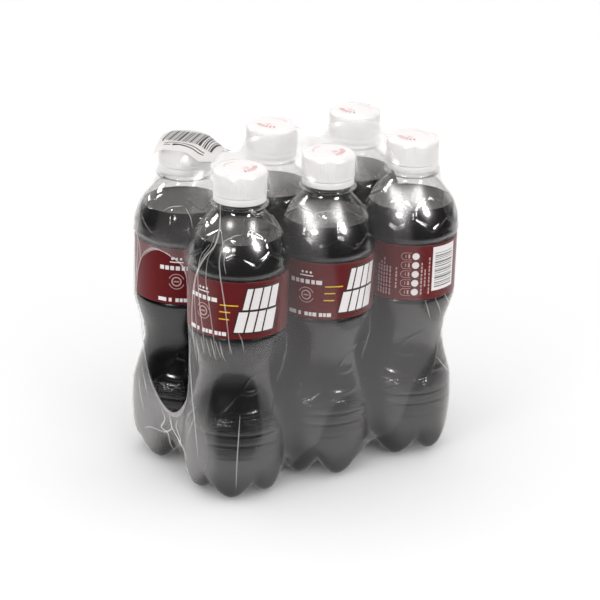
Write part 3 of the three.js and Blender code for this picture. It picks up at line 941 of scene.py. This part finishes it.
def keep_at_points(piece, **attributes):
    """Keeps a value at each point of a mesh, for the material to read."""
    for name, values in attributes.items():
        attribute = piece.data.attributes.new(name, "FLOAT", "POINT")
        attribute.data.foreach_set("value", values.ravel().astype(np.float32))


# pale is the painted light share: 1 where the haze is painted a lit white on top of the pack, 0 where it is a
# shaded grey.
grip, haze, pale = grip_and_haze(film_grid)
keep_at_points(film, grip=grip, haze=haze, pale=pale)


# Folds and creases of the film

film_tree = BVHTree.FromObject(film, bpy.context.evaluated_depsgraph_get())
# Each fold: its points in the photograph's frame, its width and how milky it is.
# A fold's milkiness is partly the crease's own haze and partly a painted highlight along it.
FOLDS = [
    ([(218, 204), (216.5, 225), (212.5, 241), (203, 251), (192, 266), (188, 281), (187.5, 302),
      (189, 330), (192, 356)], 1.5, 0.5),
    ([(220.5, 204), (219.5, 228), (215, 245), (204, 259), (196.5, 274), (193, 293), (192, 317),
      (194, 342), (197, 360)], 1.3, 0.45),
    ([(220.5, 225), (222.5, 245), (219.5, 259), (220, 274), (225.5, 311), (228, 332),
      (230, 354)], 1.0, 0.35),
    ([(210, 244), (201, 256), (198, 274), (199.5, 302), (203, 332), (205, 351)], 1.0, 0.35),
    ([(215, 247), (208, 259), (206, 280), (210, 311), (213.5, 337), (216.5, 357)], 0.9, 0.3),
    ([(216, 232), (211, 246), (200.5, 262), (195, 285), (195.5, 312), (198.5, 338)], 0.8, 0.3),
    ([(223, 240), (225.5, 252), (224, 262), (226, 275)], 0.7, 0.3),
    ([(238, 332), (242, 341), (244, 352)], 0.8, 0.3),
    ([(190.5, 337), (190, 360), (192, 393), (195, 424), (198, 458)], 1.3, 0.4),
    ([(187, 345), (186.5, 372), (188, 402), (192, 436), (197, 466), (203, 480)], 1.4, 0.4),
    ([(201, 337), (204.5, 354)], 0.8, 0.35),
    ([(206, 338), (209.5, 352), (211, 357)], 0.8, 0.35),
    ([(210.5, 338), (215, 356.5), (216.5, 360)], 0.9, 0.4),
    ([(215, 340), (219, 352), (221, 358)], 0.7, 0.3),
    ([(219.5, 341), (222.5, 355), (225.5, 361)], 0.9, 0.35),
    ([(228.5, 340), (232, 355)], 0.7, 0.3),
    ([(196, 336), (198.5, 352), (199, 366)], 0.9, 0.35),
    ([(240, 415), (238.5, 439), (237, 462), (236, 488)], 0.7, 0.4),
    ([(222.5, 242), (235, 236), (242, 235)], 0.7, 0.4),
    ([(154, 387), (158, 396), (154, 408), (152.5, 422), (157, 436), (156.5, 445), (165, 454),
      (175, 463)], 1.3, 0.5),
    ([(158, 390), (162.5, 405), (168, 412), (171, 424), (177, 433), (181.5, 445), (186, 454),
      (190.5, 468)], 1.5, 0.55),
    ([(161.5, 408), (165, 419), (161.5, 427), (168, 433), (171, 445), (178.5, 454)], 1.3, 0.5),
    ([(169, 414), (172, 427), (178.5, 439), (184.5, 451), (187.5, 460)], 1.2, 0.5),
    ([(182, 405), (186, 416), (185, 430), (190.5, 445), (193.5, 454)], 1.2, 0.4),
    ([(142, 367), (145, 383), (148, 398)], 0.9, 0.3),
    ([(139, 372), (140, 390), (144, 410)], 0.9, 0.3),
    ([(425, 300), (428, 310), (430, 318)], 0.8, 0.3),
    ([(435, 298), (439, 307), (441, 316)], 0.8, 0.35),
    ([(444, 293), (449, 303), (452, 313)], 0.9, 0.35),
    ([(447, 322), (452, 350), (455, 378), (454, 400)], 1.0, 0.35),
    ([(441, 330), (447, 350), (451, 372)], 0.8, 0.3),
    ([(436, 356), (444, 366), (452, 374)], 0.8, 0.35),
    ([(163, 211), (171, 207), (183, 206)], 0.7, 0.35),
    ([(300, 207), (316, 214), (322, 219)], 0.7, 0.3),
    ([(313, 222), (315, 214), (328, 211), (337, 210)], 0.7, 0.35),
    ([(393, 207), (397, 199), (404, 198)], 0.7, 0.35),
]
FOCAL = CAMERA_LENS / SENSOR * FRAME


def seen_on_film(x, y):
    """The point of the film seen at a place in the photograph, and its normal towards the viewer."""
    ray = CAMERA_FORWARD + CAMERA_RIGHT * ((x - FRAME / 2) / FOCAL) + CAMERA_UP * ((FRAME / 2 - y) / FOCAL)
    spot, normal, _, _ = film_tree.ray_cast(CAMERA_PLACE, ray.normalized())
    if spot is None:
        return None
    return spot / MM, normal if normal.dot(ray) < 0 else -normal


def outward(spot, normal):
    """The normal turned away from the middle of the pack."""
    away = Vector((spot[0], spot[1], 0.5 * (spot[2] - 90)))
    return normal if normal.dot(away) > 0 else -normal


def near_film(point):
    spot, normal, _, _ = film_tree.find_nearest(Vector(point) * MM)
    spot = spot / MM
    return spot, outward(spot, normal), (spot - Vector(point)).length


def smoothed(rows, closed):
    rows = np.asarray(rows, float)
    for _ in range(2):
        before = np.roll(rows, 1, 0)
        after = np.roll(rows, -1, 0)
        if not closed:
            before[0], after[-1] = rows[0], rows[-1]
        rows = (before + 2 * rows + after) / 4
    return rows


def fold_strip(points, normals, width, height, closed=False):
    """A low ridge along points on the film: three points across it, narrow at both ends."""
    points, normals = np.asarray(points, float), smoothed(normals, closed)
    normals /= np.linalg.norm(normals, axis=1, keepdims=True)
    along = np.roll(points, -1, 0) - np.roll(points, 1, 0)
    if not closed:
        along[0], along[-1] = points[1] - points[0], points[-1] - points[-2]
    side = np.cross(along, normals)
    side /= np.maximum(np.linalg.norm(side, axis=1, keepdims=True), 1e-9)
    share = np.ones(len(points)) if closed else np.sin(np.linspace(0.12, math.pi - 0.12, len(points))) ** 0.5
    half = (side * width / 2) * share[:, None]
    crest = points + normals * (0.08 + height * share[:, None])
    foot = points + normals * 0.06
    rows = np.stack([foot - half, crest, foot + half], 1)
    return rows.reshape(-1, 3), grid_faces(len(points), 3, wrap_rows=closed), share.repeat(3)


class Folds(Shapes):
    """Collects folds, with how milky each is: partly the crease's own haze and partly a painted highlight."""

    def __init__(self):
        super().__init__()
        self.haze = []

    def add_fold(self, points, normals, width, height, milk_and_painted_light, closed=False):
        rows, faces, share = fold_strip(points, normals, width, height, closed)
        self.add(rows, faces)
        self.haze.append(milk_and_painted_light * (0.35 + 0.65 * share))


# A fold is left out where it jumps across a gap, and a copy where the film isn't near it, in millimetres.
WIDEST_JUMP = 9
FARTHEST_COPY = 3
FOLD_HEIGHT = 0.3
folds = Folds()
for line, width, milk_and_painted_light in FOLDS:
    hits = [seen_on_film(x, y) for x, y in curve_through(line, 2.0)]
    hits = [hit for hit in hits if hit is not None]
    if len(hits) < 3:
        continue
    points = [hit[0] for hit in hits]
    if max((b - a).length for a, b in zip(points[:-1], points[1:])) > WIDEST_JUMP:
        continue
    folds.add_fold(points, [hit[1] for hit in hits], width * 0.75, FOLD_HEIGHT, milk_and_painted_light)
    # The back row has folds like these.
    for flip_x in (1, -1):
        moved = [near_film((p.x * flip_x, -p.y, p.z)) for p in points]
        spots, normals, distances = zip(*moved)
        if max(distances) < FARTHEST_COPY:
            folds.add_fold(spots, normals, width * 0.75, FOLD_HEIGHT, milk_and_painted_light * 0.8)
for rim in (film_grid[:, 0], film_grid[:, -1]):
    spots = [near_film(p) for p in rim[::2]]
    folds.add_fold([s[0] for s in spots], [s[1] for s in spots], 0.8, 0.2, 0.16, closed=True)
# On the listed folds the haze is partly a painted highlight; all folds get a haze colour halfway between the
# painted shaded grey and lit white.
haze = np.concatenate(folds.haze)
keep_at_points(folds.finish("film_folds", [FILM], "film"), haze=haze, grip=haze * 0, pale=haze * 0 + 0.5)


# Sticker

def film_height(x, y):
    hit = film_tree.ray_cast(Vector((x * MM, y * MM, 0.3)), Vector((0, 0, -1)))
    return hit[0].z / MM


STICKER_X = -57.2
STICKER_Y = 25
STICKER_LENGTH = 36.5
STICKER_WIDTH = 32
STICKER_TURN = math.radians(-51)


def on_sticker(s, t, lift):
    """A point on the sticker, s along it and t across it from its middle, stiffer than the film below."""
    x = STICKER_X + s * math.cos(STICKER_TURN) - t * math.sin(STICKER_TURN)
    y = STICKER_Y + s * math.sin(STICKER_TURN) + t * math.cos(STICKER_TURN)
    near = [film_height(x + dx, y + dy) for dx, dy in ((0, 0), (2.5, 0), (-2.5, 0), (0, 2.5), (0, -2.5))]
    past_cap = max(math.hypot(x + PITCH, y - PITCH / 2) - 9, 0)
    stiff = CAP_TOP + 0.6 - 0.042 * past_cap ** 2 + 0.35 * math.sin(0.45 * s + 1) * min(past_cap / 6, 1)
    return x, y, max(stiff, sum(near) / len(near) * 0.4 + max(near) * 0.6 + 0.5) + lift


def sticker_sheet(s0, s1, t0, t1, columns, rows, lift):
    points = [on_sticker(s, t, lift)
              for t in np.linspace(t0, t1, rows + 1) for s in np.linspace(s0, s1, columns + 1)]
    return np.array(points), grid_faces(rows + 1, columns + 1)


half_length, half_width = STICKER_LENGTH / 2, STICKER_WIDTH / 2
points, faces = sticker_sheet(-half_length, half_length, -half_width, half_width, 36, 30, 0.0)
make_piece("paper_sticker", points, faces, [PAPER], replaces=["sticker"])
bars = Shapes()
s = -15.5
pattern = [1.0, 0.5, 0.5, 1.5, 0.5, 1.0, 0.5, 2.0, 0.5, 1.0, 1.0, 0.5, 1.5, 0.5, 0.5, 1.0, 2.0, 0.5, 1.0, 0.5,
           0.5, 1.5, 1.0]
for k, width in enumerate(pattern):
    if s + width * 0.8 > 15.5:
        break
    bars.add(*sticker_sheet(s, s + width * 0.8, -8.5, 9.5, 1, 10, 0.06))
    s += width * 0.8 + (0.6, 0.9, 0.5)[k % 3]
for t in (-12.6, -11.2):
    bars.add(*sticker_sheet(-13, 11, t, t + 0.5, 20, 1, 0.06))
bars.finish("sticker_bars", [PAPER_INK], "sticker")


# Stage, lights and camera

# The floor glows in the photograph's background: bright around the pack and duller behind it.
BEHIND = (0.563, 0.827, 0)
FOOTPRINT_CORNER = (0.08, 0.052, 0)
SHADE_REACH = 0.035


def stage_floor():
    mesh = bpy.data.meshes.new("floor")
    mesh.from_pydata([(-6, -6, 0), (6, -6, 0), (6, 6, 0), (-6, 6, 0)], [], [(0, 1, 2, 3)])
    floor = bpy.data.objects.new("floor", mesh)
    bpy.context.scene.collection.objects.link(floor)
    material, tree = new_material("pale_floor")
    seen = make_node(tree, "LightPath").outputs["Is Camera Ray"]
    plain = make_node(tree, "BsdfDiffuse", {"Color": (0.95, 0.95, 0.95, 1)})
    # Painted pool of light: in reflections and bounced light the floor is a glow that fades with distance
    # from a point behind the pack.
    place = make_node(tree, "NewGeometry").outputs["Position"]
    far = make_node(tree, "VectorMath", {0: place, 1: BEHIND}, operation="DISTANCE").outputs["Value"]
    beyond = make_node(tree, "MapRange", {"Value": far, "From Min": 1, "From Max": 2}).outputs["Result"]
    greys = [(position, (value,) * 3) for position, value in
             ((0, 1), (1, 0.03), (0.13, 1.0), (0.19, 0.45), (0.28, 0.2), (0.6, 0.04))]
    colour = colour_ramp(tree, beyond, *greys, interpolation="EASE")
    # Painted shadow: the glow is dimmed to 0.3 at the pack's footprint and reaches full strength SHADE_REACH
    # away from it.
    offset = make_node(tree, "VectorMath", {0: place}, operation="ABSOLUTE")
    beside = make_node(tree, "VectorMath", {0: offset.outputs[0], 1: FOOTPRINT_CORNER}, operation="SUBTRACT")
    outside = make_node(tree, "VectorMath", {0: beside.outputs[0], 1: (0, 0, 0)}, operation="MAXIMUM")
    reach = make_node(tree, "VectorMath", {0: outside.outputs[0]}, operation="LENGTH").outputs["Value"]
    shade = make_node(tree, "MapRange", {"Value": reach, "From Max": SHADE_REACH, "To Min": 0.3,
                                         "To Max": 1.25})
    glow = make_node(tree, "Emission", {"Strength": shade.outputs["Result"], "Color": colour})
    make_node(tree, "OutputMaterial", {"Surface": mixed(tree, seen, glow, plain).outputs[0]})
    mesh.materials.append(material)


def stage_world():
    """White behind the pack, a plain fill, and a darker room in reflections."""
    world = bpy.data.worlds.new("studio")
    bpy.context.scene.world = world
    world.use_nodes = True
    tree = world.node_tree
    tree.nodes.clear()
    seen = make_node(tree, "LightPath").outputs
    white = make_node(tree, "Background", {"Color": (1, 1, 1, 1)})
    fill = make_node(tree, "Background", {"Color": (1, 1, 1, 1), "Strength": 1.03})
    place = make_node(tree, "TexCoord").outputs["Generated"]
    facing = make_node(tree, "VectorMath", {0: place, 1: BEHIND}, operation="DOT_PRODUCT")
    room = colour_ramp(tree, facing.outputs["Value"], (0.15, (0.02, 0.022, 0.026)), (0.75, (1, 0.99, 0.98)),
                       (0.5, (0.4, 0.4, 0.4)))
    dark = make_node(tree, "Background", {"Color": room})
    around = mixed(tree, seen["Is Glossy Ray"], fill, dark)
    make_node(tree, "OutputWorld", {"Surface": mixed(tree, seen["Is Camera Ray"], around, white).outputs[0]})


def softbox(name, azimuth, elevation, distance, width, height, radiance, gloss=True):
    """A soft light at an azimuth from -Y towards +X, aimed at the pack, for the highlights or the shading."""
    a, e = math.radians(azimuth), math.radians(elevation)
    direction = Vector((math.sin(a) * math.cos(e), -math.cos(a) * math.cos(e), math.sin(e)))
    light = bpy.data.lights.new(name, "AREA")
    light.shape = "ELLIPSE"
    light.size = width
    light.size_y = height
    light.energy = radiance * math.pi * width * height * math.pi / 4
    lamp = bpy.data.objects.new(name, light)
    bpy.context.scene.collection.objects.link(lamp)
    lamp.location = Vector((0, 0, 0.12)) + direction * distance
    lamp.rotation_euler = direction.to_track_quat("Z", "Y").to_euler()
    lamp.visible_camera = False
    lamp.visible_glossy = gloss
    lamp.visible_diffuse = not gloss


stage_floor()
stage_world()
softbox("softbox_left", -64, 26, 1.7, 0.46, 0.4, 40)
softbox("softbox_front", 14, 33, 1.7, 0.4, 0.85, 34)
softbox("softbox_back", -150, 33, 1.7, 0.5, 0.45, 24)
softbox("shading_left", -70, 12, 1.7, 0.8, 0.8, 4.4, gloss=False)
softbox("shading_front", 0, 12, 1.7, 0.8, 0.8, 3.6, gloss=False)

camera_data = bpy.data.cameras.new("camera")
camera_data.sensor_width = SENSOR
camera_data.sensor_fit = "HORIZONTAL"
camera_data.lens = CAMERA_LENS
camera = bpy.data.objects.new("camera", camera_data)
bpy.context.scene.collection.objects.link(camera)
turn = Matrix((CAMERA_RIGHT, CAMERA_UP, -CAMERA_FORWARD)).transposed().to_4x4()
camera.matrix_world = Matrix.Translation(CAMERA_PLACE) @ turn
bpy.context.scene.camera = camera
bpy.context.scene.view_settings.view_transform = "Standard"
